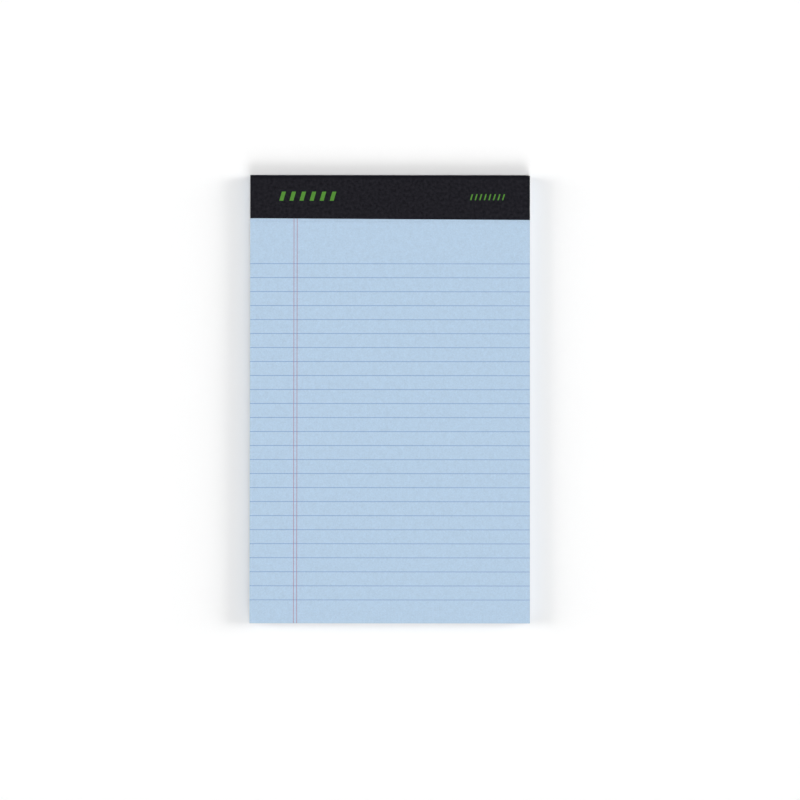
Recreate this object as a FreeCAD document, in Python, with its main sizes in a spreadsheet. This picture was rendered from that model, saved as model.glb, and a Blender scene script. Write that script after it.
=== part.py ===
import FreeCAD, Part
import os
import Sketcher

# A ruled legal pad that lies on its backboard: perforated sheets, a chipboard back, two wire
# staples through both, and a strip of binding tape folded over the head.
#
# Frame: +X to the right, +Y towards the bound head, +Z up. The origin is the middle of the pad's
# footprint, on the surface that it lies on. Each piece is drawn from the pad's left tail corner,
# so a sketch's coordinates are distances from the left side, from the tail and from the piece's
# own underside.

SIZES = (
    # Sheets and board
    ("pad_width", 127.0),         # side to side, 5 in
    ("pad_length", 203.2),        # tail to head, 8 in
    ("sheet_count", 50),
    ("sheet_thickness", 0.09),
    ("board_thickness", 0.8),
    # Perforation through every sheet, just below the tape
    ("perforation_drop", 0.9),    # below the longer end of the tape's front flap
    ("slit_length", 1.0),
    ("slit_width", 0.1),
    ("slit_pitch", 1.5),
    # Binding tape, folded over the head a little askew
    ("tape_width", 42.5),         # the whole strip, before it is folded
    ("tape_thickness", 0.15),
    ("flap_left", 19.6),          # front flap, from the head down, at the left side
    ("flap_right", 20.3),         # the same at the right side
    ("fold_radius", 0.4),         # inside of both folds, and the head edges under them
    # Staples
    ("wire_diameter", 0.5),
    ("crown_width", 12.0),        # from leg to leg
    ("clinch_length", 3.5),       # bent end of a leg, from the leg's centre line
    ("bend_radius", 0.4),         # of the wire's centre line
    ("staple_from_head", 9.0),
    ("staple_from_side", 28.0),   # side of the pad to the middle of the crown
    ("wire_clearance", 0.02),     # round the wire, in the sheets and in the board
    # Ruling
    ("first_rule", 40.25),        # first line, from the head down
    ("rule_pitch", 6.35),         # narrow ruling, 1/4 in
    ("tail_margin", 8.0),         # the last line stays at least this far from the tail
    ("rule_width", 0.26),
    ("margin_from_side", 19.9),   # first margin line, from the left side
    ("margin_gap", 1.45),         # on to the second margin line
    ("margin_width", 0.24),
    ("ink_thickness", 0.03),
    ("ink_clearance", 0.05),      # from the margin lines to the tape's edge
    # Row of slanted bars printed at the left of the tape
    ("mark_from_side", 13.2),
    ("mark_from_head", 7.5),
    ("mark_height", 4.1),
    ("mark_bar", 1.8),
    ("mark_slant", 1.2),
    ("mark_pitch", 4.58),
    ("mark_count", 6),
    # Row of finer slanted bars printed at the right of the tape
    ("dash_from_side", 11.3),
    ("dash_from_head", 8.6),
    ("dash_height", 2.7),
    ("dash_bar", 0.6),
    ("dash_slant", 0.8),
    ("dash_pitch", 2.07),
    ("dash_count", 8),
)

# Heights and places as formulas on the sizes
LEFT = "(-Sizes.pad_width / 2)"
TAIL = "(-(Sizes.pad_length + Sizes.tape_thickness) / 2)"
BLOCK = "(Sizes.sheet_count * Sizes.sheet_thickness)"
STACK = f"(Sizes.board_thickness + {BLOCK})"
BOARD_UNDERSIDE = "Sizes.tape_thickness"
SHEETS_UNDERSIDE = "(Sizes.tape_thickness + Sizes.board_thickness)"
SHEETS_TOP = f"(Sizes.tape_thickness + {STACK})"
TAPE_TOP = f"(2 * Sizes.tape_thickness + {STACK})"
HEAD = "Sizes.pad_length"
STAPLE_LINE = f"({HEAD} - Sizes.staple_from_head)"
STAPLE_LEFT = "Sizes.staple_from_side"
STAPLE_RIGHT = "(Sizes.pad_width - Sizes.staple_from_side)"
MARGIN_LEFT = "Sizes.margin_from_side"
MARGIN_RIGHT = "(Sizes.margin_from_side + Sizes.margin_gap)"

doc = FreeCAD.newDocument("LegalPad")
sheet = doc.addObject("Spreadsheet::Sheet", "Sizes")
for row, (alias, size) in enumerate(SIZES, 1):
    sheet.set(f"A{row}", str(size))
    sheet.setAlias(f"A{row}", alias)
doc.recompute()


def value(formula):
    """The present value of a formula on the sizes."""
    return float(sheet.evalExpression(formula))


def point(x, y):
    """The point of a sketch's plane at the coordinates that two formulas give."""
    return FreeCAD.Vector(value(x), value(y), 0)


def new_body(label, underside):
    """An empty body whose own origin is the pad's left tail corner, at its height in the pad."""
    body = doc.addObject("PartDesign::Body", label)
    body.Label = label
    body.setExpression("Placement.Base.x", LEFT)
    body.setExpression("Placement.Base.y", TAIL)
    body.setExpression("Placement.Base.z", underside)
    return body


def new_sketch(body, name, plane, offset="0"):
    """A sketch on one of the body's origin planes, moved along the plane's normal."""
    sketch = body.newObject("Sketcher::SketchObject", name)
    origin_plane = next(item for item in body.Origin.OriginFeatures if item.Role == plane)
    sketch.AttachmentSupport = [(origin_plane, "")]
    sketch.MapMode = "FlatFace"
    sketch.setExpression("AttachmentOffset.Base.z", offset)
    return sketch


def constrain(sketch, kind, *where, size):
    """Add a constraint whose size is a formula."""
    number = sketch.addConstraint(Sketcher.Constraint(kind, *where, value(size)))
    sketch.setExpression(f"Constraints[{number}]", size)


def hold(sketch, shape, end, x, y):
    """Hold an end of a line, or the centre of a circle, at two formulas."""
    origin = (-1, 1)
    constrain(sketch, "DistanceX", *origin, shape, end, size=x)
    constrain(sketch, "DistanceY", *origin, shape, end, size=y)


def edge_end(corner, neighbour):
    """Where the straight edge to a neighbour ends: short of a rounded corner by its radius."""
    if len(corner) == 2:
        return corner
    x, y, radius = corner
    step_x = value(neighbour[0]) - value(x)
    step_y = value(neighbour[1]) - value(y)
    if abs(step_x) > abs(step_y):
        return (f"{x} {'+' if step_x > 0 else '-'} {radius}", y)
    return (x, f"{y} {'+' if step_y > 0 else '-'} {radius}")


def join(sketch, edge_before, edge_after, corner):
    """Join two straight edges at their corner, with a tangent arc where it is rounded."""
    if len(corner) == 2:
        sketch.addConstraint(Sketcher.Constraint("Coincident", edge_before, 2, edge_after, 1))
        return
    x, y, radius = corner
    start = sketch.Geometry[edge_before].EndPoint
    end = sketch.Geometry[edge_after].StartPoint
    centre = start + end - point(x, y)
    middle = centre + (point(x, y) - centre).normalize() * value(radius)
    turns_left = (start - centre).cross(end - centre).z > 0
    drawn = Part.Arc(start, middle, end) if turns_left else Part.Arc(end, middle, start)
    arc = sketch.addGeometry(drawn, False)
    arc_start, arc_end = (1, 2) if turns_left else (2, 1)
    sketch.addConstraint(Sketcher.Constraint("Tangent", edge_before, 2, arc, arc_start))
    sketch.addConstraint(Sketcher.Constraint("Tangent", arc, arc_end, edge_after, 1))
    constrain(sketch, "Radius", arc, size=radius)


def draw_outline(sketch, corners, closed=True):
    """Draw straight edges from corner to corner.

    A corner is (x, y), or (x, y, radius) where it is rounded and both its edges lie along the
    sketch's axes. All are formulas. The start of each edge is held by its corner's formulas,
    and its end is joined to the next edge.
    """
    count = len(corners)
    first_edge = sketch.GeometryCount
    edge_count = count if closed else count - 1
    for index in range(edge_count):
        corner = corners[index]
        goal = corners[(index + 1) % count]
        start = edge_end(corner, goal)
        edge = sketch.addGeometry(Part.LineSegment(point(*start), point(*edge_end(goal, corner))), False)
        hold(sketch, edge, 1, *start)
    for index in range(0 if closed else 1, edge_count):
        edge_before = first_edge + (index - 1) % edge_count
        join(sketch, edge_before, first_edge + index, corners[index])
    if not closed:
        hold(sketch, first_edge + edge_count - 1, 2, *corners[-1])


def draw_rectangle(sketch, left, right, low, high):
    """Draw a rectangle from the formulas of its four sides."""
    draw_outline(sketch, [(left, low), (right, low), (right, high), (left, high)])


def draw_slanted_bar(sketch, left, width, low, high, slant):
    """Draw an upright bar whose upper end leans to the right."""
    draw_outline(sketch, [
        (left, low),
        (f"{left} + {width}", low),
        (f"{left} + {width} + {slant}", high),
        (f"{left} + {slant}", high),
    ])


def draw_circle(sketch, x, y, radius):
    """Draw a circle from the formulas of its centre and radius."""
    circle = Part.Circle(point(x, y), FreeCAD.Vector(0, 0, 1), value(radius))
    number = sketch.addGeometry(circle, False)
    hold(sketch, number, 3, x, y)
    constrain(sketch, "Radius", number, size=radius)


def add_pad(body, sketch, name, length):
    """Extrude a sketch along its normal."""
    pad = body.newObject("PartDesign::Pad", name)
    pad.Profile = sketch
    pad.setExpression("Length", length)
    return pad


def add_pocket(body, sketch, name, depth, upwards=True):
    """Cut a sketch into the body, and make sure that the cut takes material away."""
    doc.recompute()
    volume_before = body.Shape.Volume
    pocket = body.newObject("PartDesign::Pocket", name)
    pocket.Profile = sketch
    pocket.Reversed = upwards
    pocket.setExpression("Length", depth)
    doc.recompute()
    if not body.Shape.Volume < volume_before:
        raise RuntimeError(f"{name} cuts nothing from {body.Label}")
    return pocket


def repeat(body, feature, sketch, name, axis, pitch, count, backwards=False):
    """Repeat a feature in a row along an axis of its sketch."""
    row = body.newObject("PartDesign::LinearPattern", name)
    row.Originals = [feature]
    row.Direction = (sketch, [axis])
    row.Reversed = backwards
    row.Mode = "Spacing"
    row.setExpression("Offset", pitch)
    row.setExpression("Occurrences", count)
    body.Tip = row


def cut_staple_holes(body, thickness, trough_in_top):
    """Cut a trough for each staple's crown or clinched ends, and a hole for each of its legs.

    The trough lies in the top of the sheets for the crown, and in the underside of the board
    for the clinched ends. It is deep enough for the bends of the wire.
    """
    reach = "(Sizes.wire_diameter / 2 + Sizes.wire_clearance)"
    trough_depth = "(Sizes.wire_diameter / 2 + Sizes.wire_clearance + Sizes.bend_radius)"
    for side, middle in (("Left", STAPLE_LEFT), ("Right", STAPLE_RIGHT)):
        left_leg = f"({middle} - Sizes.crown_width / 2)"
        right_leg = f"({middle} + Sizes.crown_width / 2)"
        trough = new_sketch(body, f"{side}TroughOutline", "XY_Plane", thickness if trough_in_top else "0")
        draw_rectangle(trough, f"{left_leg} - {reach}", f"{right_leg} + {reach}",
                       f"{STAPLE_LINE} - {reach}", f"{STAPLE_LINE} + {reach}")
        add_pocket(body, trough, f"{side}Trough", trough_depth, upwards=not trough_in_top)
        legs = new_sketch(body, f"{side}LegOutlines", "XY_Plane")
        draw_circle(legs, left_leg, STAPLE_LINE, reach)
        draw_circle(legs, right_leg, STAPLE_LINE, reach)
        add_pocket(body, legs, f"{side}LegHoles", thickness)


def make_backboard():
    """Chipboard back, as large as the sheets, its lower head edge rounded inside the tape."""
    body = new_body("backboard", BOARD_UNDERSIDE)
    profile = new_sketch(body, "BoardProfile", "YZ_Plane")
    draw_outline(profile, [
        ("0", "0"),
        (HEAD, "0", "Sizes.fold_radius"),
        (HEAD, "Sizes.board_thickness"),
        ("0", "Sizes.board_thickness"),
    ])
    add_pad(body, profile, "Board", "Sizes.pad_width")
    cut_staple_holes(body, "Sizes.board_thickness", trough_in_top=False)
    return body


def make_page_block():
    """All the sheets as one block, its upper head edge rounded inside the tape, and perforated."""
    body = new_body("page_block", SHEETS_UNDERSIDE)
    profile = new_sketch(body, "BlockProfile", "YZ_Plane")
    draw_outline(profile, [
        ("0", "0"),
        (HEAD, "0"),
        (HEAD, BLOCK, "Sizes.fold_radius"),
        ("0", BLOCK),
    ])
    add_pad(body, profile, "Sheets", "Sizes.pad_width")
    cut_staple_holes(body, BLOCK, trough_in_top=True)
    slit_count = "floor(Sizes.pad_width / Sizes.slit_pitch)"
    row_length = f"(({slit_count} - 1) * Sizes.slit_pitch + Sizes.slit_length)"
    first_slit = f"((Sizes.pad_width - {row_length}) / 2)"
    perforation = f"({HEAD} - max(Sizes.flap_left; Sizes.flap_right) - Sizes.perforation_drop)"
    outline = new_sketch(body, "SlitOutline", "XY_Plane")
    draw_rectangle(outline, first_slit, f"{first_slit} + Sizes.slit_length",
                   f"{perforation} - Sizes.slit_width / 2", f"{perforation} + Sizes.slit_width / 2")
    slit = add_pocket(body, outline, "Slit", BLOCK)
    repeat(body, slit, outline, "Perforation", "H_Axis", "Sizes.slit_pitch", slit_count)
    return body


def make_binding_tape():
    """Paper tape folded over the head, from the top sheet round to the back of the board.

    The strip is folded with both flaps too long, then each is cut along its edge. The tape was
    laid askew, so what the front flap gains from left to right, the back flap loses.
    """
    body = new_body("binding_tape", "0")
    outside = f"({HEAD} + Sizes.tape_thickness)"
    outside_radius = "(Sizes.fold_radius + Sizes.tape_thickness)"
    uncut_end = f"({HEAD} - Sizes.tape_width)"
    profile = new_sketch(body, "FoldedProfile", "YZ_Plane")
    draw_outline(profile, [
        (uncut_end, "0"),
        (outside, "0", outside_radius),
        (outside, TAPE_TOP, outside_radius),
        (uncut_end, TAPE_TOP),
        (uncut_end, SHEETS_TOP),
        (HEAD, SHEETS_TOP, "Sizes.fold_radius"),
        (HEAD, BOARD_UNDERSIDE, "Sizes.fold_radius"),
        (uncut_end, BOARD_UNDERSIDE),
    ])
    add_pad(body, profile, "FoldedStrip", "Sizes.pad_width")
    both_flaps = f"(Sizes.tape_width - {STACK} - Sizes.tape_thickness)"
    edges = (
        ("Front", SHEETS_TOP, "Sizes.flap_left", "Sizes.flap_right"),
        ("Back", "0", f"({both_flaps} - Sizes.flap_left)", f"({both_flaps} - Sizes.flap_right)"),
    )
    for name, flap_underside, length_left, length_right in edges:
        offcut = new_sketch(body, f"{name}Offcut", "XY_Plane", flap_underside)
        draw_outline(offcut, [
            ("0", uncut_end),
            ("Sizes.pad_width", uncut_end),
            ("Sizes.pad_width", f"{HEAD} - {length_right}"),
            ("0", f"{HEAD} - {length_left}"),
        ])
        add_pocket(body, offcut, f"{name}Edge", "Sizes.tape_thickness")
    return body


def make_staple(label, middle):
    """A wire staple: crown flush with the top sheet, ends clinched flush in the board's back."""
    body = new_body(label, "(Sizes.tape_thickness + Sizes.wire_diameter / 2)")
    left_leg = f"({middle} - Sizes.crown_width / 2)"
    right_leg = f"({middle} + Sizes.crown_width / 2)"
    crown = f"({STACK} - Sizes.wire_diameter)"
    first_end = f"({left_leg} + Sizes.clinch_length)"
    centre_line = new_sketch(body, "CentreLine", "XZ_Plane", f"-{STAPLE_LINE}")
    draw_outline(centre_line, [
        (first_end, "0"),
        (left_leg, "0", "Sizes.bend_radius"),
        (left_leg, crown, "Sizes.bend_radius"),
        (right_leg, crown, "Sizes.bend_radius"),
        (right_leg, "0", "Sizes.bend_radius"),
        (f"{right_leg} - Sizes.clinch_length", "0"),
    ], closed=False)
    section = new_sketch(body, "WireSection", "YZ_Plane", first_end)
    draw_circle(section, STAPLE_LINE, "0", "Sizes.wire_diameter / 2")
    wire = body.newObject("PartDesign::AdditivePipe", "Wire")
    wire.Profile = section
    wire.Spine = (centre_line, [])
    return body


def make_ruling_lines():
    """Ruled lines in ink on the top sheet, from side to side, broken where the margin crosses."""
    body = new_body("ruling_lines", SHEETS_TOP)
    half_margin = "Sizes.margin_width / 2"
    low = f"{HEAD} - Sizes.first_rule - Sizes.rule_width / 2"
    high = f"{HEAD} - Sizes.first_rule + Sizes.rule_width / 2"
    outline = new_sketch(body, "LineOutline", "XY_Plane")
    draw_rectangle(outline, "0", f"{MARGIN_LEFT} - {half_margin}", low, high)
    draw_rectangle(outline, f"{MARGIN_LEFT} + {half_margin}", f"{MARGIN_RIGHT} - {half_margin}", low, high)
    draw_rectangle(outline, f"{MARGIN_RIGHT} + {half_margin}", "Sizes.pad_width", low, high)
    line = add_pad(body, outline, "Line", "Sizes.ink_thickness")
    ruled_length = f"({HEAD} - Sizes.first_rule - Sizes.tail_margin)"
    line_count = f"floor({ruled_length} / Sizes.rule_pitch) + 1"
    repeat(body, line, outline, "Ruling", "V_Axis", "Sizes.rule_pitch", line_count, backwards=True)
    return body


def make_margin_lines():
    """The double margin line in ink on the top sheet, from the tail up to the tape's edge."""
    body = new_body("margin_lines", SHEETS_TOP)
    outline = new_sketch(body, "LineOutlines", "XY_Plane")
    for middle in (MARGIN_LEFT, MARGIN_RIGHT):
        skew = f"(Sizes.flap_right - Sizes.flap_left) * {middle} / Sizes.pad_width"
        tape_edge = f"({HEAD} - Sizes.flap_left - {skew})"
        draw_rectangle(outline, f"{middle} - Sizes.margin_width / 2", f"{middle} + Sizes.margin_width / 2",
                       "0", f"{tape_edge} - Sizes.ink_clearance")
    add_pad(body, outline, "Lines", "Sizes.ink_thickness")
    return body


def make_header_mark():
    """Row of slanted bars printed at the left of the tape's front flap."""
    body = new_body("header_mark", TAPE_TOP)
    high = f"({HEAD} - Sizes.mark_from_head)"
    outline = new_sketch(body, "BarOutline", "XY_Plane")
    draw_slanted_bar(outline, "Sizes.mark_from_side", "Sizes.mark_bar",
                     f"({high} - Sizes.mark_height)", high, "Sizes.mark_slant")
    bar = add_pad(body, outline, "Bar", "Sizes.ink_thickness")
    repeat(body, bar, outline, "Bars", "H_Axis", "Sizes.mark_pitch", "Sizes.mark_count")
    return body


def make_header_dashes():
    """Row of finer slanted bars printed at the right of the tape's front flap."""
    body = new_body("header_dashes", TAPE_TOP)
    high = f"({HEAD} - Sizes.dash_from_head)"
    row_length = "((Sizes.dash_count - 1) * Sizes.dash_pitch + Sizes.dash_bar + Sizes.dash_slant)"
    left = f"(Sizes.pad_width - Sizes.dash_from_side - {row_length})"
    outline = new_sketch(body, "DashOutline", "XY_Plane")
    draw_slanted_bar(outline, left, "Sizes.dash_bar",
                     f"({high} - Sizes.dash_height)", high, "Sizes.dash_slant")
    dash = add_pad(body, outline, "Dash", "Sizes.ink_thickness")
    repeat(body, dash, outline, "Dashes", "H_Axis", "Sizes.dash_pitch", "Sizes.dash_count")
    return body


pieces = [
    make_backboard(),
    make_page_block(),
    make_binding_tape(),
    make_staple("staple_left", STAPLE_LEFT),
    make_staple("staple_right", STAPLE_RIGHT),
    make_ruling_lines(),
    make_margin_lines(),
    make_header_mark(),
    make_header_dashes(),
]
doc.recompute()

for item in doc.Objects:
    if "Invalid" in item.State or "Error" in item.State:
        raise RuntimeError(f"{item.Label} failed: {item.State}")
for piece in pieces:
    if piece.Shape.isNull() or not piece.Shape.isValid():
        raise RuntimeError(f"{piece.Label} has no valid shape")

os.makedirs("parts", exist_ok=True)
for piece in pieces:
    piece.Shape.exportStep(f"parts/{piece.Label}.step")
    print(f"{piece.Label}: {len(piece.Shape.Solids)} solids, {piece.Shape.Volume:.3f} mm3")
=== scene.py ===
import math

import bpy
import numpy as np
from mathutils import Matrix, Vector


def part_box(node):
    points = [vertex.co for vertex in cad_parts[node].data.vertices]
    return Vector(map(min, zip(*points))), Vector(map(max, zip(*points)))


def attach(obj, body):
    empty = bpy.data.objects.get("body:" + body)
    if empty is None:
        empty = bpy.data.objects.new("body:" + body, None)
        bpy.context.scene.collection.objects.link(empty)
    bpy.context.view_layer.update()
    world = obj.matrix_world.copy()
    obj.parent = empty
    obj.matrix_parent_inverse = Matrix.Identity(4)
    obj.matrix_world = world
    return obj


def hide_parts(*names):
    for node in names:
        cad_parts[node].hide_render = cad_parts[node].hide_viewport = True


# A ruled legal pad, lying on its back on a white table and seen from straight above. The sheets,
# the board, the tape and all the print are modelled here over the solids of the frame. +X is
# the pad's right side, +Y its bound head and +Z its top sheet.

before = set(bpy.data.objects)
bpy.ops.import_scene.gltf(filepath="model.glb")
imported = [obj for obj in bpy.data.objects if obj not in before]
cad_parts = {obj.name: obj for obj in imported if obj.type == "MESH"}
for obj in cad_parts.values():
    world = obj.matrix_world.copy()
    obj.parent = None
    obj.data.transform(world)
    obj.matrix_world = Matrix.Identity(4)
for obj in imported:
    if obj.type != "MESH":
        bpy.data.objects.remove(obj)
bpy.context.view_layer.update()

MM = 0.001
MICROMETRE = 1e-6
SHEET_COUNT = 50
SEED = 50
random = np.random.default_rng(SEED)


# Places read from the frame

def points_of(node):
    """The vertices of a node of the frame, one row each."""
    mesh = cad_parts[node].data
    points = np.empty(len(mesh.vertices) * 3)
    mesh.vertices.foreach_get("co", points)
    return points.reshape(-1, 3)


def places(values):
    """The different values in a list, to a micrometre, from the lowest up."""
    return np.unique(np.round(values, 6))


def at(values, place):
    """Which of the values lie at a place, to a micrometre."""
    return np.abs(values - place) < MICROMETRE


def flap_ends(points, height):
    """Where a flap of the tape ends at the pad's left and right side: the face at a height."""
    face = points[at(points[:, 2], height)]
    return tuple(face[at(face[:, 0], side), 1].min() for side in (LEFT, RIGHT))


def bar_corners(node):
    """The corners of each slanted bar of a node: two on the low side, then two on the high side."""
    points = points_of(node)
    low, high = points[:, 1].min(), points[:, 1].max()
    lower = places(points[at(points[:, 1], low), 0]).reshape(-1, 2)
    upper = places(points[at(points[:, 1], high), 0]).reshape(-1, 2)
    ends = [(lower[:, 0], low), (lower[:, 1], low), (upper[:, 1], high), (upper[:, 0], high)]
    return np.stack([np.column_stack([x, np.full_like(x, y)]) for x, y in ends], axis=1)


sheet_points = points_of("page_block")
tape_points = points_of("binding_tape")
board_heights = points_of("backboard")[:, 2]
LEFT, TAIL, SHEETS_LOW = sheet_points.min(axis=0)
RIGHT, HEAD, SHEETS_TOP = sheet_points.max(axis=0)
BOARD_LOW, BOARD_TOP = board_heights.min(), board_heights.max()
TAPE_TOP = tape_points[:, 2].max()
TAPE_THICKNESS = TAPE_TOP - SHEETS_TOP

on_top = sheet_points[at(sheet_points[:, 2], SHEETS_TOP)]
FOLD_START = on_top[:, 1].max()
FOLD = HEAD - FOLD_START
FRONT_ENDS = flap_ends(tape_points, TAPE_TOP)
BACK_ENDS = flap_ends(tape_points, BOARD_LOW)

slit_points = on_top[(on_top[:, 1] > TAIL + MICROMETRE) & (on_top[:, 1] < min(FRONT_ENDS))]
SLIT_LOW, SLIT_HIGH = places(slit_points[:, 1])
SLIT_ENDS = places(slit_points[:, 0])

STAPLES = [np.array(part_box(node)) for node in ("staple_left", "staple_right")]


# The pad's slight departures from flat and square, as heights and shifts of any place on it

TAIL_RISE = 0.10 * MM           # air between the sheets at their free end
TWIST = 0.35                    # how much more the right corner rises than the middle
RIPPLE = 0.012 * MM
RIPPLE_COUNT = 2.5              # waves from the tape to the tail
BURR = 0.010 * MM               # lip raised by the perforating wheel
BURR_REACH = 0.35 * MM
CORNER_PUSH = 0.35 * MM         # the knocked right corner of the head
CORNER_REACH = 2.2 * MM
HEAD_NIP = 0.20 * MM            # how far the tight fold draws the top sheet down at the head
NIP_REACH = 1.8 * MM
CROWN_RIDGE = 0.045 * MM        # the front flap over a staple's wire
CLINCH_RIDGE = 0.020 * MM       # the back flap over a staple's clinched ends
RIDGE_WIDTH = 0.55 * MM
TAPE_RIPPLE = 0.006 * MM
TAPE_WAVES = (17 * MM, 11.9 * MM)   # lengths of the tape's waves across and along the pad


def ramp(values, start, end):
    """0 on one side of the start, 1 beyond the end, and a straight line from start to end."""
    return np.clip((values - start) / (end - start), 0, 1)


def outwards(x):
    """1 on the pad's right side, -1 on its left side and 0 between them."""
    return at(x, RIGHT) * 1.0 - at(x, LEFT)


def sheet_rise(x, y, level):
    """How far a sheet stands over its flat place, at a level from 0, the board, to 1, the top.

    Growing with the square of the way from the tape to the tail, and straight from side to
    side, plus low sine waves along the pad. All of it grows with the level.
    """
    way = ramp(y, min(FRONT_ENDS), TAIL)
    fan = TAIL_RISE * way ** 2 * (1 + TWIST * x / RIGHT)
    wave = RIPPLE * way * np.sin(2 * math.pi * RIPPLE_COUNT * way)
    return level * (fan + wave)


def burr(y):
    """Height of the lip along the perforation: a low roof over its two rows of slit edges."""
    below = ramp(y, SLIT_LOW - BURR_REACH, SLIT_LOW)
    above = ramp(y, SLIT_HIGH + BURR_REACH, SLIT_HIGH)
    return BURR * np.minimum(below, above)


def top_sheet(x, y):
    """Height of the top sheet's upper face."""
    return SHEETS_TOP + sheet_rise(x, y, 1) + burr(y)


def knocked_in(x, y, z):
    """How far the right corner of the head is pushed towards the tail.

    The push grows with the square of the way into the corner's last few millimetres along the
    head, falls to nothing along the side, and is half as strong at the board as at the top.
    """
    along_head = ramp(x, RIGHT - CORNER_REACH, RIGHT) ** 2
    along_side = ramp(y, HEAD - 2 * CORNER_REACH, HEAD)
    upwards = (1 + ramp(z, BOARD_LOW, SHEETS_TOP)) / 2
    return CORNER_PUSH * along_head * along_side * upwards


def nipped(y, z):
    """How far the tight fold draws a place down.

    The fall grows with the square of the way into the last millimetres before the head, and
    from nothing at the lowest sheet to all of it at the top one.
    """
    return HEAD_NIP * ramp(y, HEAD - NIP_REACH, HEAD) ** 2 * ramp(z, SHEETS_LOW, SHEETS_TOP)


def over_wire(x, y, back):
    """1 over a staple's wire and 0 away from it: a bell across the wire, with soft ends along it.

    In front it follows the whole crown. At the back it follows the two clinched ends, so the
    middle third of the staple is left out.
    """
    share = np.zeros(np.broadcast(x, y).shape)
    for low, high in STAPLES:
        middle, reach = (low[0] + high[0]) / 2, (high[0] - low[0]) / 2
        across = np.exp(-((y - (low[1] + high[1]) / 2) / RIDGE_WIDTH) ** 2)
        way = np.abs(x - middle)
        along = ramp(way, reach + RIDGE_WIDTH, reach - RIDGE_WIDTH)
        if back:
            along = along * ramp(way, reach / 3, reach / 2)
        share = share + across * along
    return share


def front_flap(x, y):
    """Height of the upper face of the tape's front flap: flat, with the staples' ridges on it.

    The glue adds low waves, one sine across the pad times one along it.
    """
    length_x, length_y = TAPE_WAVES
    wave = np.sin(2 * math.pi * x / length_x) * np.sin(2 * math.pi * y / length_y)
    return TAPE_TOP + CROWN_RIDGE * over_wire(x, y, back=False) + TAPE_RIPPLE * wave


def rounded_head(y, from_edge):
    """Hold a place back from the head by the fold's quarter circle, near the block's face."""
    depth = np.clip(FOLD - from_edge, 0, FOLD)
    return np.minimum(y, FOLD_START + np.sqrt(FOLD ** 2 - depth ** 2))


# Building pieces

SHARP_ANGLE = 40                # in degrees
MAP_EDGE = 0.01                 # bare border of a piece's flat map


def add_object(name, data):
    """A new object in the scene."""
    thing = bpy.data.objects.new(name, data)
    bpy.context.scene.collection.objects.link(thing)
    return thing


def add_piece(name, points, faces, map_places, material, stands_for, smooth=False):
    """A closed mesh piece that rides on the pad and stands for nodes of the frame.

    The map's places are one for each corner of each face. A smooth piece keeps its sharp edges.
    """
    mesh = bpy.data.meshes.new(name)
    mesh.from_pydata(points, [], faces)
    uv_map = mesh.uv_layers.new(name="OFBake")
    uv_map.data.foreach_set("uv", np.asarray(map_places, dtype=np.float32).ravel())
    if smooth:
        mesh.shade_smooth()
        mesh.set_sharp_from_angle(angle=math.radians(SHARP_ANGLE))
    mesh.materials.append(material)
    mesh.update()
    piece = add_object(name, mesh)
    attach(piece, "root")
    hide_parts(*stands_for)
    return piece


def store(piece, name, domain, values):
    """Keep a value for each point or face of a piece, for its material to read."""
    layer = piece.data.attributes.new(name, "FLOAT", domain)
    layer.data.foreach_set("value", values.astype(np.float32))


def cells_of(grid):
    """The four corners of each cell of a grid of point numbers, anticlockwise from above."""
    corners = [grid[:-1, :-1], grid[:-1, 1:], grid[1:, 1:], grid[1:, :-1]]
    return np.stack(corners, axis=-1).reshape(-1, 4)


# Blocks, for the sheets and the board

WALLS = TAIL_WALL, RIGHT_WALL, HEAD_WALL, LEFT_WALL = 0, 1, 2, 3
LEVEL_FACES = TOP_FACE, LOW_FACE = 4, 5
PIT = 6

STRIP_WIDTH = 0.052             # of the map, for the height of one wall
STRIP_GAP = 0.008
HIDDEN_SHARE = 0.08             # of the map's scale, for the face that never shows
PIT_SHARE = 0.13                # the same for the pits, across the pad
PIT_START = 0.5                 # of the map's height, where the pits begin
PIT_SPREAD = 0.02


def block_map(nominal, faces, kinds, shown_face):
    """Places on the flat map for a block's faces, by the kind of face.

    The shown face is laid out at the scale that fills the map's height. Each wall is a strip
    beside it, as long as the wall, with the wall's height spread over the strip's width. The
    hidden face and the pits are laid out small beyond the strips.
    """
    x, y, level = np.moveaxis(nominal[faces], -1, 0)
    scale = (1 - 2 * MAP_EDGE) / (HEAD - TAIL)
    along_x, along_y = (x - LEFT) * scale, (y - TAIL) * scale
    strips_start = (RIGHT - LEFT) * scale + 2 * MAP_EDGE
    beyond = strips_start + len(WALLS) * (STRIP_WIDTH + STRIP_GAP)
    across, up = along_x.copy(), along_y.copy()
    for kind in WALLS:
        chosen = kinds == kind
        start = strips_start + kind * (STRIP_WIDTH + STRIP_GAP)
        across[chosen] = start + STRIP_WIDTH * level[chosen]
        up[chosen] = (along_x if kind in (TAIL_WALL, HEAD_WALL) else along_y)[chosen]
    hidden = np.isin(kinds, LEVEL_FACES) & (kinds != shown_face)
    across[hidden] = beyond + HIDDEN_SHARE * along_x[hidden]
    up[hidden] = HIDDEN_SHARE * along_y[hidden]
    pits = kinds == PIT
    across[pits] = beyond + PIT_SHARE * along_x[pits]
    up[pits] = PIT_START + (along_y + PIT_SPREAD * (1 - level))[pits] / 2
    return np.stack([MAP_EDGE + across, MAP_EDGE + up], axis=-1)


def rim_of(long, wide):
    """Row and column of each point on a grid's rim, once round it from the first corner."""
    first_row = [(0, i) for i in range(wide)]
    last_column = [(j, wide - 1) for j in range(1, long)]
    last_row = [(long - 1, i) for i in range(wide - 2, -1, -1)]
    first_column = [(j, 0) for j in range(long - 2, 0, -1)]
    return np.array(first_row + last_column + last_row + first_column)


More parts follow.
